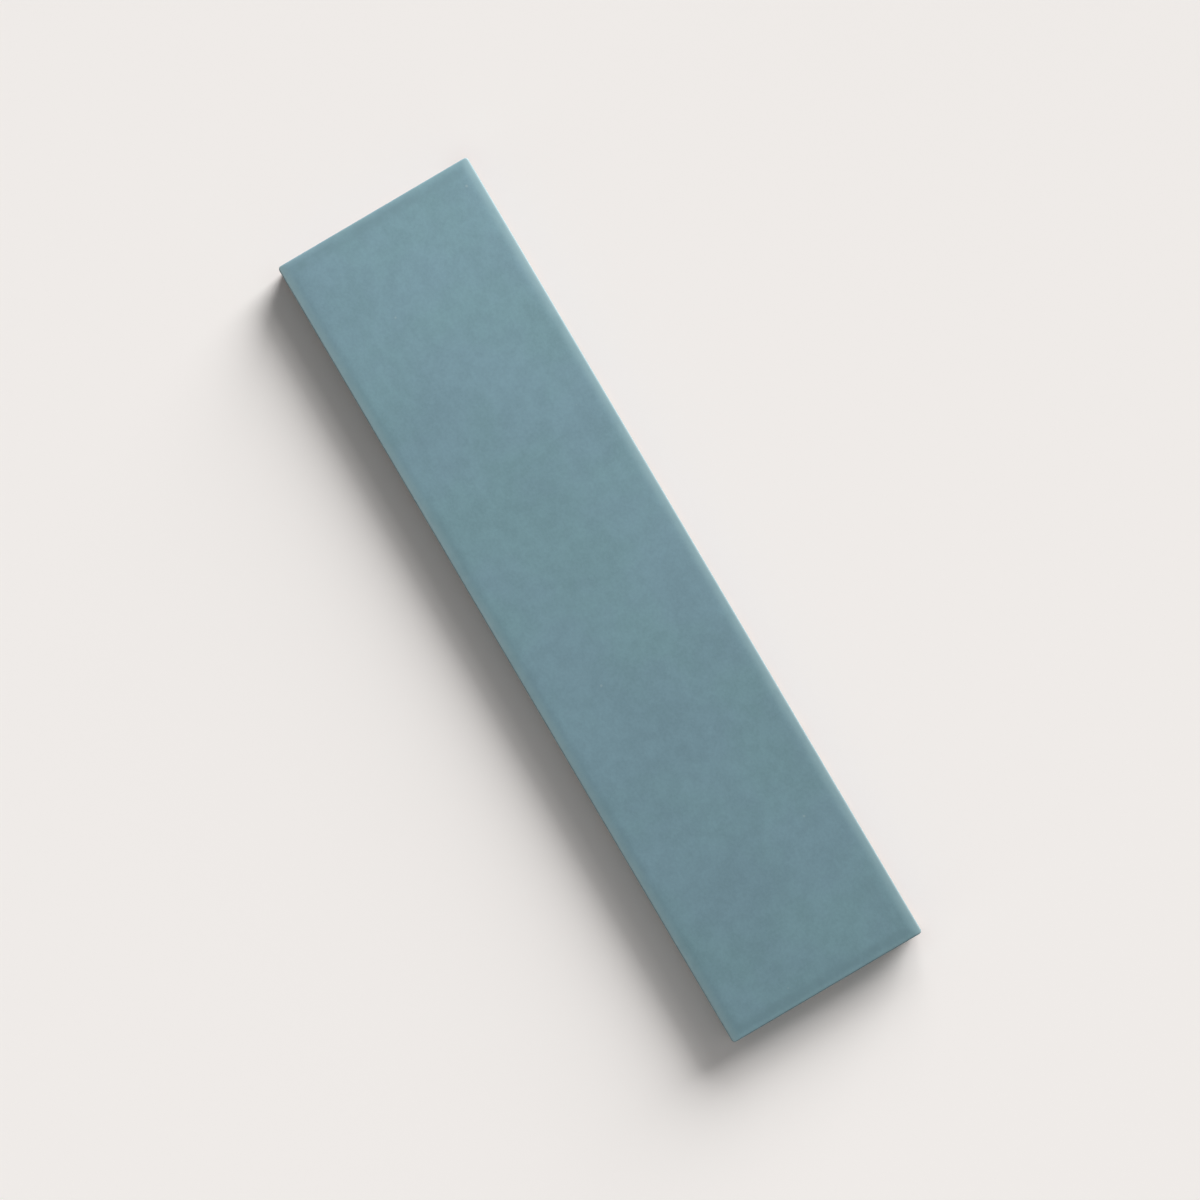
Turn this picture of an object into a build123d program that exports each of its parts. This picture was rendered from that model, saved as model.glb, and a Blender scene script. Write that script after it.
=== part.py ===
from build123d import *
from math import acos, degrees, sin, radians
import os

# Narrow glazed ceramic tile, dry-pressed and fired as one piece.
# Millimetres. The tile lies on its ribbed back: +Z is out of the glazed face,
# +X runs along its length, and the origin is the middle of the back.

# Driving dimensions: the plan and the thickness
LENGTH = 246.0
WIDTH = 60.0
THICKNESS = 9.0
CORNER_RADIUS = 0.6

# Driving dimensions: the rolled rim of the face, and the drafted foot below the joint faces
ROLL_WIDTH = 3.0
ROLL_DROP = 0.25
FOOT_HEIGHT = 3.2
FOOT_INSET = 0.5

# Driving dimensions: the waffle of ribs pressed into the back
BACK_RIM = 4.5
RIB_WIDTH = 3.0
RIB_PITCH = 18.0
POCKET_DEPTH = 0.8
POCKET_DRAFT = 30.0
POCKET_CORNER = 2.0

# How far a section runs past the joint faces that trim it
OVERRUN = 0.25


def edge_section(plane, span):
    """The section over a side of that length: flat back, drafted foot, rolled rim and flat face."""
    half = span / 2
    roll_radius = (ROLL_WIDTH**2 + ROLL_DROP**2) / (2 * ROLL_DROP)
    roll_center = (half - ROLL_WIDTH, THICKNESS - roll_radius)
    roll_start = degrees(acos((ROLL_WIDTH + OVERRUN) / roll_radius))
    roll_bottom = THICKNESS - roll_radius * (1 - sin(radians(roll_start)))
    foot_top = FOOT_HEIGHT * (FOOT_INSET + OVERRUN) / FOOT_INSET
    with BuildSketch(plane) as section:
        with BuildLine():
            Polyline(
                (0, 0),
                (half - FOOT_INSET, 0),
                (half + OVERRUN, foot_top),
                (half + OVERRUN, roll_bottom),
            )
            roll = CenterArc(roll_center, roll_radius, roll_start, 90 - roll_start)
            Line(roll @ 1, (0, THICKNESS))
            mirror(about=Plane.YZ)
        make_face()
    return section.sketch


def rib_layout(span):
    """How many pockets fit between the back's rims over that span, and their exact pitch."""
    room = span - 2 * (FOOT_INSET + BACK_RIM) + RIB_WIDTH
    count = max(1, round(room / RIB_PITCH))
    return count, room / count


long_section = edge_section(Plane.XZ, LENGTH)
cross_section = edge_section(Plane.YZ, WIDTH)
pockets_long, pitch_long = rib_layout(LENGTH)
pockets_wide, pitch_wide = rib_layout(WIDTH)

with BuildPart() as tile:
    # Upright joint faces all round, with slightly round corners.
    with BuildSketch(Plane.XY):
        RectangleRounded(LENGTH, WIDTH, CORNER_RADIUS)
    extrude(amount=THICKNESS)

    # The long and the short section shape the rim and the foot, and meet in a mitre at each corner.
    extrude(long_section, amount=WIDTH, both=True, mode=Mode.INTERSECT)
    extrude(cross_section, amount=LENGTH, both=True, mode=Mode.INTERSECT)

    # Shallow pockets leave a rim and a grid of ribs for the adhesive to key to.
    with BuildSketch(Plane.XY):
        with GridLocations(pitch_long, pitch_wide, pockets_long, pockets_wide):
            RectangleRounded(pitch_long - RIB_WIDTH, pitch_wide - RIB_WIDTH, POCKET_CORNER)
    extrude(amount=POCKET_DEPTH, taper=POCKET_DRAFT, mode=Mode.SUBTRACT)

tile.part.label = "tile"
os.makedirs("parts", exist_ok=True)
export_step(tile.part, "parts/tile.step")
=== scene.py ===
import math
from typing import NamedTuple

import bpy
import numpy as np
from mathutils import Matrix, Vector, noise


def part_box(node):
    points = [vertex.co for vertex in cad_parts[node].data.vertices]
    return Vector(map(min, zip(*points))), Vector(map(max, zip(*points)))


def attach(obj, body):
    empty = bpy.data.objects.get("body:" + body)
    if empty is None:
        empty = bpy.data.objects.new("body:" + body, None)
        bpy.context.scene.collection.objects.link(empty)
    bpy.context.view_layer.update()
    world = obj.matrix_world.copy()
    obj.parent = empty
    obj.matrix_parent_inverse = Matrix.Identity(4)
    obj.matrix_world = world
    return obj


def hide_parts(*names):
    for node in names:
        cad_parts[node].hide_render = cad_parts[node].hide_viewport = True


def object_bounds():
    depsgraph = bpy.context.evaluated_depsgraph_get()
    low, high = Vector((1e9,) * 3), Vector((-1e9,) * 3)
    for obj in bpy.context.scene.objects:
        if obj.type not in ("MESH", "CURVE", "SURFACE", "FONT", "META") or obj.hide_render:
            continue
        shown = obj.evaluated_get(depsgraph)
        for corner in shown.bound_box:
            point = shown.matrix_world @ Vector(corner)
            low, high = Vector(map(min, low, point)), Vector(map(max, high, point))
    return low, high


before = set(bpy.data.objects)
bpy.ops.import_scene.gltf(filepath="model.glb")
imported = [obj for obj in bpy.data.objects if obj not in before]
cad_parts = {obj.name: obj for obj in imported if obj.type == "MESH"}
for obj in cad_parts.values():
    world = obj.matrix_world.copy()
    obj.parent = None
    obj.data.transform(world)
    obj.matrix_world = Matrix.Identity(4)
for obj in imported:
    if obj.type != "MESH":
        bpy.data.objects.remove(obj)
cad_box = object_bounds()


class Pattern(NamedTuple):
    """Noise with blotches of a size in millimetres; values within the span spread from low to high."""

    size: float
    detail: float = 2.0
    roughness: float = 0.5
    shift: tuple = (0, 0, 0)
    span: tuple = (0, 1)
    low: float = 0.0
    high: float = 1.0


class Fade(NamedTuple):
    """A smooth change between two lengths in millimetres, from a low value to a high one."""

    start: float
    end: float
    low: float = 0.0
    high: float = 1.0


# One glazed ceramic tile, lying face up on a pale floor and seen from straight above.
# Sizes of the tile and its finishes are in millimetres. The floor, the lamps and the camera are in metres.
MM = 0.001
tile_low, tile_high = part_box("tile")
LENGTH = (tile_high.x - tile_low.x) / MM
WIDTH = (tile_high.y - tile_low.y) / MM
THICKNESS = (tile_high.z - tile_low.z) / MM

# The tile's two finishes, by their place in its list of materials
GLAZE = 0
BODY = 1

# The rolled rim of the face, flatter at the ends, and the soft arris that the glaze leaves below it
ROLL_WIDTH = 4.2
SIDE_ROLL_DROP = 0.30
END_ROLL_DROP = 0.13
ARRIS_RADIUS = 0.42
CORNER_RADIUS = 1.0
MITRE_SHARPNESS = 4.0
ROLL_STEPS = 14
ARRIS_STEPS = 7

# The face isn't dead flat: long shallow waves in the fired glaze
FACE_WAVE = 34.0
FACE_WAVE_DEPTH = 0.05
FACE_WAVE_SEED = 3.7

# The sides: a glaze apron with an uneven lower lip, then bare body down to a drafted foot
GLAZE_THICKNESS = 0.18
APRON_DEPTH = 3.7
FOOT_HEIGHT = 3.2
FOOT_INSET = 0.5
FOOT_ROUND = 0.35

# The lip's long waves, and finer ripples that swing by a share of them
LIP_WAVE = 17.0
LIP_SWING = 2.2
LIP_SEED = 9.1
RIPPLE_WAVE = 4.25
RIPPLE_SHARE = 0.2
RIPPLE_SEED = 5.3

# The mesh's rings round the sides: shares of a straight stretch, or degrees round the lip and the foot
APRON_RINGS = (0.3, 0.6, 0.85)
LIP_RINGS = (20, 45, 70, 90)
BODY_RINGS = (0.05, 0.35, 0.7, 1.0)
FOOT_RINGS = (0.35, 0.7, 1.0)
FOOT_ROUND_RINGS = (25, 50, 72, 90)

# The waffle of ribs on the back
BACK_RIM = 4.5
RIB_WIDTH = 3.0
RIB_PITCH = 18.0
POCKET_DEPTH = 0.8
POCKET_DRAFT = math.radians(30)
POCKET_CORNER = 2.0
POCKET_ROUND = 0.25

# The pockets' mesh: steps a side, crowding towards the corners, and steps kept clear of the rim's lines
CELL_STEPS = 20
CROWDING = 0.6
CLEARANCE = 0.25

# The rounding at a pocket's brink, in shares of its length: across and down, before and past the brink
BRINK_BEFORE = (0.35, 0.12)
BRINK_PAST = (0.5, 0.62)
BRINK_END = 1.3

# The edges that the finishes follow wander a little
EDGE_WANDER = Pattern(16)
GLAZE_WANDER = 0.9
BODY_WANDER = 0.3

# The glaze's tones
GLAZE_GREEN = (0.157, 0.2635, 0.295)
GLAZE_VIOLET = (0.1615, 0.2605, 0.305)
GLAZE_POOL = (0.142, 0.233, 0.265)
# The pale rim and arris tones are partly thin glaze and partly painted light on the rounded edge
GLAZE_THIN_AND_PAINTED_LIGHT = (0.214, 0.321, 0.349)
GLAZE_ARRIS_AND_PAINTED_LIGHT = (0.264, 0.361, 0.383)
GLAZE_SPECK = (0.26, 0.34, 0.36)

# The face's two tints drift into each other, under clouds of three sizes
TINT = Pattern(27, 4.0, 0.55, span=(0.36, 0.64))
CLOUDS = (
    Pattern(24, 3.0, 0.6, shift=(0.9, 0.5, 0), span=(0.34, 0.66), low=0.968, high=1.032),
    Pattern(3.8, 3.0, 0.6, shift=(0.3, 0.8, 0), span=(0.34, 0.66), low=0.966, high=1.034),
    Pattern(0.9, 3.0, 0.6, span=(0.34, 0.66), low=0.970, high=1.030),
)

# A darker, blotchy ring where glaze pools inside the rim, by distance from the edge; stronger at the ends
POOL_CORNER = 1.2
POOL_INSIDE = Fade(5.0, 2.8)
POOL_OUTSIDE = Fade(0.7, 2.2)
POOL_STRENGTH = Fade(-2.0, 1.0, low=0.22, high=0.8)
POOL_BLOTCHES = Pattern(4.5, 3.0, shift=(0.6, 0, 0), span=(0.35, 0.65), low=0.4, high=1.2)

# Pale glaze over the rim, in patches, and palest on the long arrises: partly thin glaze, partly painted
# light that lifts the rim's shade and adds to its highlight; it ends a little below the face
THIN_AND_PAINTED_LIGHT_SIDE = Fade(3.2, 0.3)
THIN_AND_PAINTED_LIGHT_END = Fade(1.8, 0.2, high=0.35)
THIN_AND_PAINTED_LIGHT_PATCHES = Pattern(3.5, 3.0, span=(0.2, 0.6), low=0.6, high=1.0)
THIN_AND_PAINTED_LIGHT_HEIGHT = Fade(THICKNESS - 2.2, THICKNESS - 0.7)
PALE_AND_PAINTED_LIGHT_ARRIS = Fade(1.0, 0.2, high=0.7)

# A few tiny pale specks, in some places only; their size is a share of their pitch
SPECK_PITCH = 6.5
SPECK_SIZE = Pattern(23, 1.0, shift=(0.4, 0, 0), span=(0.5, 0.75), high=0.06)
SPECK_STRENGTH = 0.5

# The glaze's low sheen, and its fine and broad unevenness
GLAZE_SPECULAR = 0.15
GLAZE_ROUGHNESS = Pattern(5.0, 3.0, shift=(0, 0.3, 0), span=(0.3, 0.7), low=0.65, high=0.70)
GLAZE_GRAIN = Pattern(0.55, 2.0, 0.6)
GLAZE_GRAIN_DEPTH = 0.012
GLAZE_DIMPLES = Pattern(6.0)
GLAZE_DIMPLES_DEPTH = 0.006

# The bare body's tones
BODY_CLAY = (0.29, 0.225, 0.175)
BODY_PALE = (0.36, 0.295, 0.24)
BODY_GRIT = (0.19, 0.145, 0.11)
KILN_WASH = (0.46, 0.42, 0.375)
OVERSPRAY = (0.15, 0.23, 0.25)

# Its mottling and dark grit, and the dust on the rib tops
MOTTLE = Pattern(11, 4.0, 0.6, span=(0.35, 0.65))
GRIT = Pattern(0.7, 2.0, 0.6, shift=(0.2, 0.1, 0), span=(0.64, 0.72))
GRIT_STRENGTH = 0.6
RIB_TOP = Fade(0.25, 0.02)
DUST = Pattern(7.0, 6.0, 0.72, shift=(0, 0, 0.5), span=(0.30, 0.66))

# Glaze sprayed on the bare sides: it drifts and spatters, and there is less of it towards the foot
SPRAY_HEIGHT = Fade(0.2, 2.6, low=-0.25, high=0.34)
SPRAY_DRIFT = Pattern(9.0, shift=(0.7, 0, 0))
SPATTER = Pattern(0.5, 2.0, 0.6, shift=(0.1, 0.4, 0))
SPATTER_STRENGTH = 0.6
SPRAY_SPAN = (0.66, 1.06)
SPRAY_SIDE = Fade(1.3, 0.9)

# The body's dull surface, and its fine and broad unevenness
BODY_SPECULAR = 0.3
BODY_ROUGHNESS = Pattern(1.5, span=(0.3, 0.7), low=0.82, high=0.95)
BODY_GRAIN = Pattern(0.45, 3.0, 0.7)
BODY_GRAIN_DEPTH = 0.06
BODY_DIMPLES = Pattern(2.2)
BODY_DIMPLES_DEPTH = 0.05

# The camera looks straight down, with the tile turned as it lies in the picture
TURN = math.radians(59.56)
TILE_SHARE = 0.75
LENS = 100.0
SENSOR = 36.0

# The light: a broad soft key from the tile's +Y side, a small lamp near its -X end, and a pale room.
# The three shares add up to about one in the middle of the tile, where a white sheet would render white.
KEY_BEARING = Vector((-0.45, 0.893))
KEY_ELEVATION = math.radians(18.3)
KEY_SPREAD = math.radians(36)
KEY_SHARE = 0.475
LAMP_PLACE = Vector((-0.30, 0.28, 0.21))
LAMP_RADIUS = 0.13
LAMP_SHARE = 0.26
ROOM_SHARE = 0.275

# The floor, and what the lit long side and the lit end of the tile throw on it at their feet
BACKDROP = (0.855, 0.823, 0.799)
SIDE_GLOW = (0.10, 0.155, 0.15)
END_GLOW = (0.03, 0.07, 0.06)
FLOOR_ROUGHNESS = 0.9
FLOOR_SIZE = 12.0
FLOOR_GAP = 0.0001
# A lamp's light on a level floor falls with this power of the distance
FALL_OFF = 3.0


def rounded_corners(x, y, half_x, half_y, radius):
    """Bends the square corners of a rectangle's points into quarter circles of that radius."""
    u = np.clip((np.abs(x) - (half_x - radius)) / radius, 0, None)
    v = np.clip((np.abs(y) - (half_y - radius)) / radius, 0, None)
    corner = (u > 0) & (v > 0)
    new_x = np.sign(x) * (half_x - radius + radius * u * np.sqrt(np.clip(1 - v * v / 2, 0, None)))
    new_y = np.sign(y) * (half_y - radius + radius * v * np.sqrt(np.clip(1 - u * u / 2, 0, None)))
    return np.where(corner, new_x, x), np.where(corner, new_y, y)


def waves(x, y, length, seed):
    """Smooth noise from 0 to 1 over the plan, with waves of about that length."""
    values = [noise.noise(Vector((a / length, b / length, seed))) for a, b in zip(x.ravel(), y.ravel())]
    return np.clip(np.array(values).reshape(x.shape) * 0.5 + 0.5, 0, 1)


class Rim:
    """The rolled rim's section: how far the surface has dropped, by distance from the joint face."""

    def __init__(self, roll_drop):
        self.radius = (ROLL_WIDTH**2 + roll_drop**2) / (2 * roll_drop)
        self.meet = ARRIS_RADIUS * (1 - ROLL_WIDTH / self.radius) / (1 - ARRIS_RADIUS / self.radius)
        self.tilt = math.asin((ROLL_WIDTH - self.meet) / self.radius)
        self.meet_drop = self.radius * (1 - math.cos(self.tilt))
        self.depth = self.meet_drop + ARRIS_RADIUS * math.cos(self.tilt)

    def lines(self):
        """Distances from the joint face, outermost first, at even steps of the surface's tilt."""
        arris = np.linspace(math.pi / 2, self.tilt, ARRIS_STEPS, endpoint=False)
        roll = np.linspace(self.tilt, 0, ROLL_STEPS, endpoint=False)
        return np.concatenate([ARRIS_RADIUS * (1 - np.sin(arris)), ROLL_WIDTH - self.radius * np.sin(roll)])

    def drop(self, distance):
        """How far the surface lies below the flat of the face at those distances."""
        inward = np.clip(ROLL_WIDTH - distance, 0, None)
        roll = self.radius - np.sqrt(self.radius**2 - inward**2)
        lean = np.clip(1 - distance / ARRIS_RADIUS, 0, 1)
        arris = self.meet_drop + ARRIS_RADIUS * (math.cos(self.tilt) - np.sqrt(1 - lean**2))
        return np.where(distance < self.meet, arris, roll)


class MeshBuilder:
    """Collects points and faces, each face with its material's number."""

    def __init__(self):
        self.points = []
        self.faces = []
        self.materials = []

    def add(self, x, y, z):
        """Adds points of any shape of array, and returns their numbers in that shape."""
        first = len(self.points)
        self.points.extend(np.stack([x.ravel(), y.ravel(), z.ravel()], axis=1).tolist())
        return np.arange(first, len(self.points)).reshape(x.shape)

    def face(self, corners, material):
        self.faces.append([int(c) for c in corners])
        self.materials.append(material)

    def band(self, outer, inner, material):
        """Joins two closed loops of the same length, the outer or upper one first."""
        for a, b, c, d in zip(outer, inner, np.roll(inner, -1), np.roll(outer, -1)):
            self.face((a, b, c, d), material)

    def make_object(self, name, materials):
        """A smooth-shaded object of all that was collected, in metres."""
        mesh = bpy.data.meshes.new(name)
        mesh.from_pydata((np.array(self.points) * MM).tolist(), [], self.faces)
        for material in materials:
            mesh.materials.append(material)
        mesh.polygons.foreach_set("material_index", self.materials)
        mesh.polygons.foreach_set("use_smooth", [True] * len(self.faces))
        mesh.update()
        made = bpy.data.objects.new(name, mesh)
        bpy.context.scene.collection.objects.link(made)
        return made


def cell_layout(span):
    """How many cells of the waffle lie along a side of that length, and the room that they take."""
    room = span - 2 * (FOOT_INSET + BACK_RIM) + RIB_WIDTH
    return max(1, round(room / RIB_PITCH)), room


def plan_lines(span, rim):
    """The mesh's lines across a side: the rim's lines at both ends, and even steps over the cells."""
    count, room = cell_layout(span)
    cells = np.linspace(-room / 2, room / 2, count * CELL_STEPS + 1)
    step = room / count / CELL_STEPS
    edge = [d for d in rim.lines() if span / 2 - d > room / 2 + step * CLEARANCE]
    ends = span / 2 - np.array(edge)
    return np.concatenate([-ends, cells, ends[::-1]]), len(edge)


def walk_round(low_i, high_i, low_j, high_j):
    """The grid places round a rectangle, anticlockwise from its low corner."""
    return (
        [(i, low_j) for i in range(low_i, high_i)]
        + [(high_i, j) for j in range(low_j, high_j)]
        + [(i, high_j) for i in range(high_i, low_i, -1)]
        + [(low_i, j) for j in range(high_j, low_j, -1)]
    )


def make_face(builder, x, y, end_rim, side_rim):
    """The glazed face with its rolled rim. Returns its outer loop of points."""
    grid_x, grid_y = np.meshgrid(x, y, indexing="ij")
    drop_x = end_rim.drop(LENGTH / 2 - np.abs(grid_x))
    drop_y = side_rim.drop(WIDTH / 2 - np.abs(grid_y))
    drop = (drop_x**MITRE_SHARPNESS + drop_y**MITRE_SHARPNESS) ** (1 / MITRE_SHARPNESS)
    wave = FACE_WAVE_DEPTH * waves(grid_x, grid_y, FACE_WAVE, FACE_WAVE_SEED)
    plan_x, plan_y = rounded_corners(grid_x, grid_y, LENGTH / 2, WIDTH / 2, CORNER_RADIUS)
    number = builder.add(plan_x, plan_y, THICKNESS - drop - wave)
    for i in range(len(x) - 1):
        for j in range(len(y) - 1):
            builder.face((number[i, j], number[i + 1, j], number[i + 1, j + 1], number[i, j + 1]), GLAZE)
    places = walk_round(0, len(x) - 1, 0, len(y) - 1)
    return np.array([number[place] for place in places])


def lip_heights(x, y, rim):
    """Heights of the glaze apron's lower lip round the sides: wavy, finely rippled, and above the foot."""
    lip = THICKNESS - rim.depth - APRON_DEPTH
    lip = lip + LIP_SWING * (waves(x, y, LIP_WAVE, LIP_SEED) - 0.5)
    lip = lip + RIPPLE_SHARE * LIP_SWING * (waves(x, y, RIPPLE_WAVE, RIPPLE_SEED) - 0.5)
    return np.maximum(lip, FOOT_HEIGHT + GLAZE_THICKNESS)


def make_sides(builder, x, y, rim, loop):
    """The sides, ring by ring from the arris to the back. Returns the lowest ring of points."""
    places = walk_round(0, len(x) - 1, 0, len(y) - 1)
    edge_x = np.array([x[i] for i, j in places])
    edge_y = np.array([y[j] for i, j in places])
    arris = np.array([builder.points[p][2] for p in loop])
    lip = lip_heights(edge_x, edge_y, rim)

    def ring(height, inset):
        inner_x = edge_x * (1 - 2 * inset / LENGTH)
        inner_y = edge_y * (1 - 2 * inset / WIDTH)
        radius = max(CORNER_RADIUS - inset / 2, CORNER_RADIUS / 2)
        plan = rounded_corners(inner_x, inner_y, LENGTH / 2 - inset, WIDTH / 2 - inset, radius)
        return builder.add(*plan, np.broadcast_to(height, edge_x.shape).astype(float))

    rings = [(loop, GLAZE)]
    for share in APRON_RINGS:
        rings.append((ring(arris + (lip + GLAZE_THICKNESS - arris) * share, 0.0), GLAZE))
    for turn in LIP_RINGS:
        angle = math.radians(turn)
        inset = GLAZE_THICKNESS * (1 - math.cos(angle))
        rings.append((ring(lip + GLAZE_THICKNESS * (1 - math.sin(angle)), inset), GLAZE))
    for share in BODY_RINGS:
        rings.append((ring(lip + (FOOT_HEIGHT - lip) * share, GLAZE_THICKNESS), BODY))
    for share in FOOT_RINGS:
        height = FOOT_HEIGHT + (FOOT_ROUND - FOOT_HEIGHT) * share
        rings.append((ring(height, GLAZE_THICKNESS + (FOOT_INSET - GLAZE_THICKNESS) * share), BODY))
    for turn in FOOT_ROUND_RINGS:
        angle = math.radians(turn)
        inset = FOOT_INSET + FOOT_ROUND * (1 - math.cos(angle))
        rings.append((ring(FOOT_ROUND * (1 - math.sin(angle)), inset), BODY))
    for (upper, _), (lower, material) in zip(rings, rings[1:]):
        builder.band(upper, lower, material)
    return rings[-1][0]


def pocket_walls():
    """A pocket's wall from the rib's top to its floor: how far inside the brink, and how deep."""
    run = POCKET_DEPTH * math.tan(POCKET_DRAFT)
    brink = POCKET_ROUND * math.tan((math.pi / 2 - POCKET_DRAFT) / 2)
    along = brink * math.sin(POCKET_DRAFT)
    down = brink * math.cos(POCKET_DRAFT)
    upper = [
        (-brink, 0.0),
        (-brink * BRINK_BEFORE[0], brink * BRINK_BEFORE[1]),
        (along * BRINK_PAST[0], down * BRINK_PAST[1]),
        (along * BRINK_END, down * BRINK_END),
    ]
    lower = [(run - inside, POCKET_DEPTH - depth) for inside, depth in reversed(upper)]
    return upper + lower


def make_pocket(builder, outer, center_x, center_y, pitch_x, pitch_y):
    """One pocket of the back, from its cell's outer loop of points down to its floor."""
    even = np.linspace(-1, 1, CELL_STEPS + 1)[:-1]
    crowded = (1 - CROWDING) * even + CROWDING * np.sin(even * math.pi / 2)
    side = np.ones(CELL_STEPS)
    loop_u = np.concatenate([crowded, side, -crowded, -side])
    loop_v = np.concatenate([-side, crowded, side, -crowded])
    for inside, depth in pocket_walls():
        half_x = (pitch_x - RIB_WIDTH) / 2 - inside
        half_y = (pitch_y - RIB_WIDTH) / 2 - inside
        radius = POCKET_CORNER - inside
        plan_x, plan_y = rounded_corners(loop_u * half_x, loop_v * half_y, half_x, half_y, radius)
        inner = builder.add(center_x + plan_x, center_y + plan_y, np.full(plan_x.shape, depth))
        builder.band(outer, inner, BODY)
        outer = inner
    make_pocket_floor(builder, outer)


def make_pocket_floor(builder, loop):
    """Fills a pocket's lowest loop with a patch of quads that follows its four sides."""
    n = CELL_STEPS
    edge = np.array([builder.points[p] for p in loop])
    south = edge[0:n + 1]
    east = edge[n:2 * n + 1]
    north = edge[2 * n:3 * n + 1][::-1]
    west = np.concatenate([edge[3 * n:], edge[:1]])[::-1]
    u = np.linspace(0, 1, n + 1)[:, None, None]
    v = np.linspace(0, 1, n + 1)[None, :, None]
    sides = (1 - v) * south[:, None] + v * north[:, None] + (1 - u) * west[None] + u * east[None]
    low = (1 - u) * south[0] + u * south[-1]
    high = (1 - u) * north[0] + u * north[-1]
    patch = sides - (1 - v) * low - v * high
    number = builder.add(patch[..., 0], patch[..., 1], patch[..., 2])
    for p, place in zip(loop, walk_round(0, n, 0, n)):
        number[place] = p
    for i in range(n):
        for j in range(n):
            builder.face((number[i, j], number[i, j + 1], number[i + 1, j + 1], number[i + 1, j]), BODY)


def make_back(builder, x, y, edge_lines, foot):
    """The back: a flat rim on the foot's lowest ring, and the waffle of pockets inside it."""
    last_i = len(x) - 1
    last_j = len(y) - 1
    inset = FOOT_INSET + FOOT_ROUND
    count_x, room_x = cell_layout(LENGTH)
    count_y, room_y = cell_layout(WIDTH)

    def squeezed(lines, half, half_room):
        """The rim's lines moved in from the joint faces to the foot's flat."""
        outside = np.clip(np.abs(lines) - half_room, 0, None)
        share = (half - inset - half_room) / (half - half_room)
        return np.sign(lines) * (np.minimum(np.abs(lines), half_room) + outside * share)

    flat_x = squeezed(x, LENGTH / 2, room_x / 2)
    flat_y = squeezed(y, WIDTH / 2, room_y / 2)
    number = dict(zip(walk_round(0, last_i, 0, last_j), foot))

    def point(i, j):
        """The number of the flat's point at that grid place, which is added when first asked for."""
        if (i, j) not in number:
            here = builder.add(np.array([flat_x[i]]), np.array([flat_y[j]]), np.zeros(1))
            number[(i, j)] = int(here[0])
        return number[(i, j)]

    for i in range(last_i):
        for j in range(last_j):
            inside_x = edge_lines[0] <= i < last_i - edge_lines[0]
            inside_y = edge_lines[1] <= j < last_j - edge_lines[1]
            if not (inside_x and inside_y):
                builder.face((point(i, j), point(i, j + 1), point(i + 1, j + 1), point(i + 1, j)), BODY)

    for a in range(count_x):
        for b in range(count_y):
            low_i = edge_lines[0] + a * CELL_STEPS
            low_j = edge_lines[1] + b * CELL_STEPS
            places = walk_round(low_i, low_i + CELL_STEPS, low_j, low_j + CELL_STEPS)
            outer = np.array([point(i, j) for i, j in places])
            center_x = (a + 0.5) * room_x / count_x - room_x / 2
            center_y = (b + 0.5) * room_y / count_y - room_y / 2
            make_pocket(builder, outer, center_x, center_y, room_x / count_x, room_y / count_y)


def make_tile(materials):
    """The whole tile as one closed mesh: face, sides and back."""
    end_rim = Rim(END_ROLL_DROP)
    side_rim = Rim(SIDE_ROLL_DROP)
    x, edge_x = plan_lines(LENGTH, end_rim)
    y, edge_y = plan_lines(WIDTH, side_rim)
    builder = MeshBuilder()
    loop = make_face(builder, x, y, end_rim, side_rim)
    foot = make_sides(builder, x, y, side_rim, loop)
    make_back(builder, x, y, (edge_x, edge_y), foot)
    return builder.make_object("glazed_tile", materials)


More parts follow.
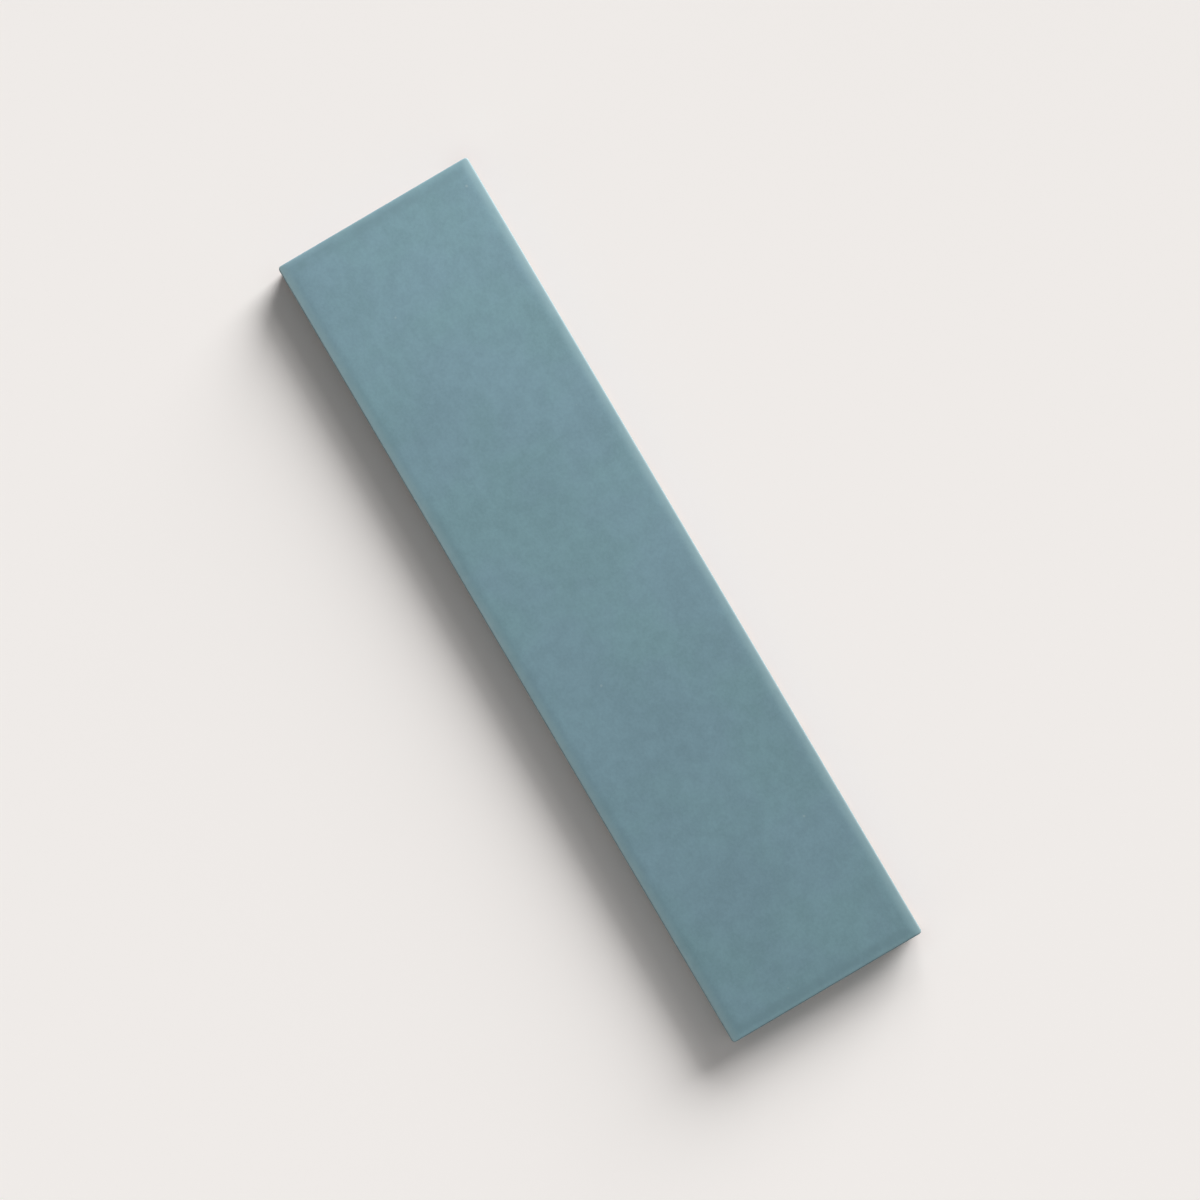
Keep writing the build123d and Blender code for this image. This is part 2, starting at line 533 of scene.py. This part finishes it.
class Shader:
    """A material's node tree, with short calls for the nodes that the finishes share."""

    # A mix node's sockets for colours, which come after those for numbers and vectors
    MIX_FIRST = 6
    MIX_SECOND = 7
    MIX_RESULT = 2

    def __init__(self, name):
        self.material = bpy.data.materials.new(name)
        self.material.use_nodes = True
        self.tree = self.material.node_tree
        self.surface = self.tree.nodes["Principled BSDF"]
        self.place = self.tree.nodes.new("ShaderNodeTexCoord").outputs["Object"]

    def feed(self, socket, value):
        """Links an input to another node's output, or sets its constant."""
        if isinstance(value, bpy.types.NodeSocket):
            self.tree.links.new(value, socket)
        else:
            socket.default_value = value

    def node(self, kind, inputs, **settings):
        made = self.tree.nodes.new(kind)
        for key, value in settings.items():
            setattr(made, key, value)
        for key, value in inputs.items():
            self.feed(made.inputs[key], value)
        return made

    def math(self, operation, *values):
        return self.node("ShaderNodeMath", dict(enumerate(values)), operation=operation).outputs[0]

    def vector(self, operation, first, second):
        return self.node("ShaderNodeVectorMath", {0: first, 1: second}, operation=operation)

    def scale(self, vector, share):
        made = self.node("ShaderNodeVectorMath", {0: vector, "Scale": share}, operation="SCALE")
        return made.outputs["Vector"]

    def step(self, value, start, end, low=0.0, high=1.0):
        """A smooth step of a value, from low at start to high at end."""
        inputs = {"Value": value, "From Min": start, "From Max": end, "To Min": low, "To Max": high}
        return self.node("ShaderNodeMapRange", inputs, interpolation_type="SMOOTHSTEP").outputs["Result"]

    def fade(self, length, fade):
        """A fade's value at a length in metres."""
        return self.step(length, fade.start * MM, fade.end * MM, fade.low, fade.high)

    def noise(self, pattern):
        """A pattern's plain noise."""
        inputs = {
            "Vector": self.vector("ADD", self.place, pattern.shift).outputs["Vector"],
            "Scale": 1 / (pattern.size * MM),
            "Detail": pattern.detail,
            "Roughness": pattern.roughness,
        }
        return self.node("ShaderNodeTexNoise", inputs).outputs["Fac"]

    def blotches(self, pattern):
        """A pattern's noise, spread over its span from low to high."""
        return self.step(self.noise(pattern), *pattern.span, pattern.low, pattern.high)

    def mix(self, share, first, second):
        """Two colours, each linked or constant, mixed by the second one's share."""
        first, second = [(*c, 1.0) if isinstance(c, tuple) else c for c in (first, second)]
        inputs = {0: share, self.MIX_FIRST: first, self.MIX_SECOND: second}
        return self.node("ShaderNodeMix", inputs, data_type="RGBA").outputs[self.MIX_RESULT]

    def bump(self, pattern, depth, below=None):
        """Relief of a pattern with a depth in millimetres, over another relief if there is one."""
        inputs = {"Height": self.noise(pattern), "Distance": depth * MM, "Strength": 1.0}
        if below is not None:
            inputs["Normal"] = below
        return self.node("ShaderNodeBump", inputs).outputs["Normal"]

    def set_surface(self, **values):
        """Sets or links the surface's own sockets; an underscore in a name stands for a space."""
        for key, value in values.items():
            self.feed(self.surface.inputs[key.replace("_", " ")], value)


def edge_distances(shader, swing):
    """How far a point lies inside the nearest end and long side, give or take a swing, and its height."""
    axes = shader.node("ShaderNodeSeparateXYZ", {0: shader.place})
    wander = shader.math("SUBTRACT", shader.noise(EDGE_WANDER), 0.5)
    distances = []
    for half, place in ((LENGTH / 2, axes.outputs[0]), (WIDTH / 2, axes.outputs[1])):
        inside = shader.math("SUBTRACT", half * MM, shader.math("ABSOLUTE", place))
        distances.append(shader.math("MULTIPLY_ADD", wander, swing * MM, inside))
    return *distances, axes.outputs[2]


def cloudy_tone(shader):
    """The open face: two tints that drift into each other, under lighter and darker clouds."""
    tone = shader.mix(shader.blotches(TINT), GLAZE_GREEN, GLAZE_VIOLET)
    for cloud in CLOUDS:
        tone = shader.scale(tone, shader.blotches(cloud))
    return tone


def pooled_share(shader, from_end, from_side):
    """How much the glaze pools: a blotchy ring inside the rim."""
    nearest = shader.math("SMOOTH_MIN", from_end, from_side, POOL_CORNER * MM)
    inside = shader.fade(nearest, POOL_INSIDE)
    outside = shader.fade(nearest, POOL_OUTSIDE)
    ring = shader.math("MULTIPLY", inside, outside)
    strength = shader.fade(shader.math("SUBTRACT", from_side, from_end), POOL_STRENGTH)
    return shader.math("MULTIPLY", ring, shader.math("MULTIPLY", strength, shader.blotches(POOL_BLOTCHES)))


def thin_and_painted_light_shares(shader, from_end, from_side, height):
    """How pale the glaze is over the rim, in patches, and how pale it is on the long arrises: partly thin
    glaze, partly painted light.
    """
    near_face = shader.fade(height, THIN_AND_PAINTED_LIGHT_HEIGHT)
    patchy = shader.math("MULTIPLY", shader.blotches(THIN_AND_PAINTED_LIGHT_PATCHES), near_face)
    side = shader.fade(from_side, THIN_AND_PAINTED_LIGHT_SIDE)
    end = shader.fade(from_end, THIN_AND_PAINTED_LIGHT_END)
    rim = shader.math("MULTIPLY", shader.math("MAXIMUM", side, end), patchy)
    arris = shader.math("MULTIPLY", shader.fade(from_side, PALE_AND_PAINTED_LIGHT_ARRIS), near_face)
    return rim, arris


def speck_share(shader):
    """Where the few pale specks lie, each at part strength."""
    spots = shader.node("ShaderNodeTexVoronoi", {"Vector": shader.place, "Scale": 1 / (SPECK_PITCH * MM)})
    speck = shader.math("LESS_THAN", spots.outputs["Distance"], shader.blotches(SPECK_SIZE))
    return shader.math("MULTIPLY", speck, SPECK_STRENGTH)


def glaze_finish():
    """Matt blue-green glaze: faint cloudy tones, a darker pooled ring inside the rim and a pale arris,
    partly thin glaze and partly painted light.
    """
    shader = Shader("matt_glaze")
    from_end, from_side, height = edge_distances(shader, GLAZE_WANDER)
    thin_and_painted_light_rim, pale_and_painted_light_arris = thin_and_painted_light_shares(shader, from_end, from_side, height)
    tone = cloudy_tone(shader)
    tone = shader.mix(pooled_share(shader, from_end, from_side), tone, GLAZE_POOL)
    # Painted light: the pale rim and arris tones partly stand in for light on the rounded edge, besides
    # thin glaze
    tone = shader.mix(thin_and_painted_light_rim, tone, GLAZE_THIN_AND_PAINTED_LIGHT)
    tone = shader.mix(pale_and_painted_light_arris, tone, GLAZE_ARRIS_AND_PAINTED_LIGHT)
    tone = shader.mix(speck_share(shader), tone, GLAZE_SPECK)
    grain = shader.bump(GLAZE_GRAIN, GLAZE_GRAIN_DEPTH)
    shader.set_surface(
        Base_Color=tone,
        Roughness=shader.blotches(GLAZE_ROUGHNESS),
        Normal=shader.bump(GLAZE_DIMPLES, GLAZE_DIMPLES_DEPTH, grain),
        Specular_IOR_Level=GLAZE_SPECULAR,
    )
    return shader.material


def sprayed_share(shader, from_end, from_side, height):
    """How much glaze has drifted and spattered onto the bare sides."""
    drift = shader.math("ADD", shader.noise(SPRAY_DRIFT), shader.fade(height, SPRAY_HEIGHT))
    spatter = shader.math("MULTIPLY_ADD", shader.noise(SPATTER), SPATTER_STRENGTH, drift)
    on_side = shader.fade(shader.math("MINIMUM", from_end, from_side), SPRAY_SIDE)
    return shader.math("MULTIPLY", shader.step(spatter, *SPRAY_SPAN), on_side)


def body_finish():
    """Bare fired body: fine pressed grain, dark grit, dusty rib tops and glaze spattered on the sides."""
    shader = Shader("fired_body")
    from_end, from_side, height = edge_distances(shader, BODY_WANDER)
    tone = shader.mix(shader.blotches(MOTTLE), BODY_CLAY, BODY_PALE)
    grit = shader.math("MULTIPLY", shader.blotches(GRIT), GRIT_STRENGTH)
    tone = shader.mix(grit, tone, BODY_GRIT)
    dust = shader.math("MULTIPLY", shader.fade(height, RIB_TOP), shader.blotches(DUST))
    tone = shader.mix(dust, tone, KILN_WASH)
    tone = shader.mix(sprayed_share(shader, from_end, from_side, height), tone, OVERSPRAY)
    grain = shader.bump(BODY_GRAIN, BODY_GRAIN_DEPTH)
    shader.set_surface(
        Base_Color=tone,
        Roughness=shader.blotches(BODY_ROUGHNESS),
        Normal=shader.bump(BODY_DIMPLES, BODY_DIMPLES_DEPTH, grain),
        Specular_IOR_Level=BODY_SPECULAR,
    )
    return shader.material


def side_glow(shader, out, along, half, glow):
    """The light that a lit side throws on the floor: most at its foot, fading over about its height."""
    height = THICKNESS * MM
    slant = shader.math("SQRT", shader.math("MULTIPLY_ADD", out, out, height**2))
    facing = shader.math("SUBTRACT", 1.0, shader.math("DIVIDE", out, slant))
    outside = shader.step(out, -height, 0.0)
    beside = shader.step(shader.math("ABSOLUTE", along), half + height, half - height)
    share = shader.math("MULTIPLY", facing, shader.math("MULTIPLY", outside, beside))
    return shader.scale(glow, share)


def floor_finish():
    """Smooth pale studio board, toned so that lamp fall-off and the tile's own glow leave it even."""
    shader = Shader("studio_board")
    distance = shader.vector("DISTANCE", shader.place, LAMP_PLACE).outputs["Value"]
    nearness = shader.math("DIVIDE", LAMP_PLACE.length, distance)
    lamp_light = shader.math("POWER", nearness, FALL_OFF)
    light = shader.math("MULTIPLY_ADD", lamp_light, LAMP_SHARE, 1 - LAMP_SHARE)
    half_x = LENGTH / 2 * MM
    half_y = WIDTH / 2 * MM
    axes = shader.node("ShaderNodeSeparateXYZ", {0: shader.place})
    beyond_side = shader.math("SUBTRACT", axes.outputs[1], half_y)
    beyond_end = shader.math("SUBTRACT", -half_x, axes.outputs[0])
    glows = (
        side_glow(shader, beyond_side, axes.outputs[0], half_x, SIDE_GLOW),
        side_glow(shader, beyond_end, axes.outputs[1], half_y, END_GLOW),
    )
    for glow in glows:
        light = shader.vector("ADD", light, glow).outputs["Vector"]
    tone = shader.vector("DIVIDE", BACKDROP, light).outputs["Vector"]
    shader.set_surface(Base_Color=tone, Roughness=FLOOR_ROUGHNESS, Specular_IOR_Level=0.0)
    return shader.material


def make_floor():
    """A wide level floor, just below the tile."""
    half = FLOOR_SIZE / 2
    mesh = bpy.data.meshes.new("studio_floor")
    level = cad_box[0].z - FLOOR_GAP
    corners = [(-half, -half, level), (half, -half, level), (half, half, level), (-half, half, level)]
    mesh.from_pydata(corners, [], [(0, 1, 2, 3)])
    mesh.materials.append(floor_finish())
    floor = bpy.data.objects.new("studio_floor", mesh)
    bpy.context.scene.collection.objects.link(floor)


def make_room():
    """A pale room: it shows as the backdrop to the eye and to gloss, and lights the tile as a soft fill."""
    world = bpy.data.worlds.new("pale_room")
    bpy.context.scene.world = world
    world.use_nodes = True
    tree = world.node_tree
    tree.nodes.clear()
    shown = tree.nodes.new("ShaderNodeBackground")
    shown.inputs["Color"].default_value = (*BACKDROP, 1.0)
    fill = tree.nodes.new("ShaderNodeBackground")
    fill.inputs["Strength"].default_value = ROOM_SHARE
    fill.inputs["Color"].default_value = (1.0, 1.0, 1.0, 1.0)
    path = tree.nodes.new("ShaderNodeLightPath")
    seen = path.outputs["Is Camera Ray"]
    for ray in ("Is Glossy Ray", "Is Transmission Ray"):
        either = tree.nodes.new("ShaderNodeMath")
        either.operation = "MAXIMUM"
        tree.links.new(seen, either.inputs[0])
        tree.links.new(path.outputs[ray], either.inputs[1])
        seen = either.outputs[0]
    choice = tree.nodes.new("ShaderNodeMixShader")
    tree.links.new(seen, choice.inputs[0])
    tree.links.new(fill.outputs[0], choice.inputs[1])
    tree.links.new(shown.outputs[0], choice.inputs[2])
    output = tree.nodes.new("ShaderNodeOutputWorld")
    tree.links.new(choice.outputs[0], output.inputs["Surface"])


def make_key_light():
    """A broad low sun that lights a level white sheet to the key's share of white."""
    lamp = bpy.data.lights.new("key", "SUN")
    lamp.energy = KEY_SHARE * math.pi / math.sin(KEY_ELEVATION)
    lamp.angle = KEY_SPREAD
    key = bpy.data.objects.new("key", lamp)
    bearing = KEY_BEARING.normalized() * math.cos(KEY_ELEVATION)
    toward = Vector((bearing.x, bearing.y, math.sin(KEY_ELEVATION)))
    key.rotation_euler = toward.to_track_quat("Z", "Y").to_euler()
    bpy.context.scene.collection.objects.link(key)


def make_near_lamp():
    """A small lamp close by: its light falls off along the tile, and reaches its share in the middle."""
    lamp = bpy.data.lights.new("near_lamp", "POINT")
    reach = LAMP_PLACE.length
    lamp.energy = LAMP_SHARE * math.pi * 4 * math.pi * reach**FALL_OFF / LAMP_PLACE.z
    lamp.shadow_soft_size = LAMP_RADIUS
    lamp.use_soft_falloff = False
    near_lamp = bpy.data.objects.new("near_lamp", lamp)
    near_lamp.location = LAMP_PLACE
    near_lamp.visible_camera = False
    bpy.context.scene.collection.objects.link(near_lamp)


def make_camera():
    """A camera so high that the tile's length takes its share of the picture's width."""
    camera = bpy.data.cameras.new("camera")
    camera.lens = LENS
    camera.sensor_width = SENSOR
    frame_width = LENGTH * MM / TILE_SHARE
    holder = bpy.data.objects.new("camera", camera)
    holder.location = (0, 0, tile_high.z + frame_width * LENS / SENSOR)
    holder.rotation_euler = (0, 0, TURN)
    bpy.context.scene.collection.objects.link(holder)
    bpy.context.scene.camera = holder


tile = make_tile([glaze_finish(), body_finish()])
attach(tile, "root")
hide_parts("tile")

make_floor()
make_room()
make_key_light()
make_near_lamp()
make_camera()
bpy.context.scene.view_settings.view_transform = "Standard"
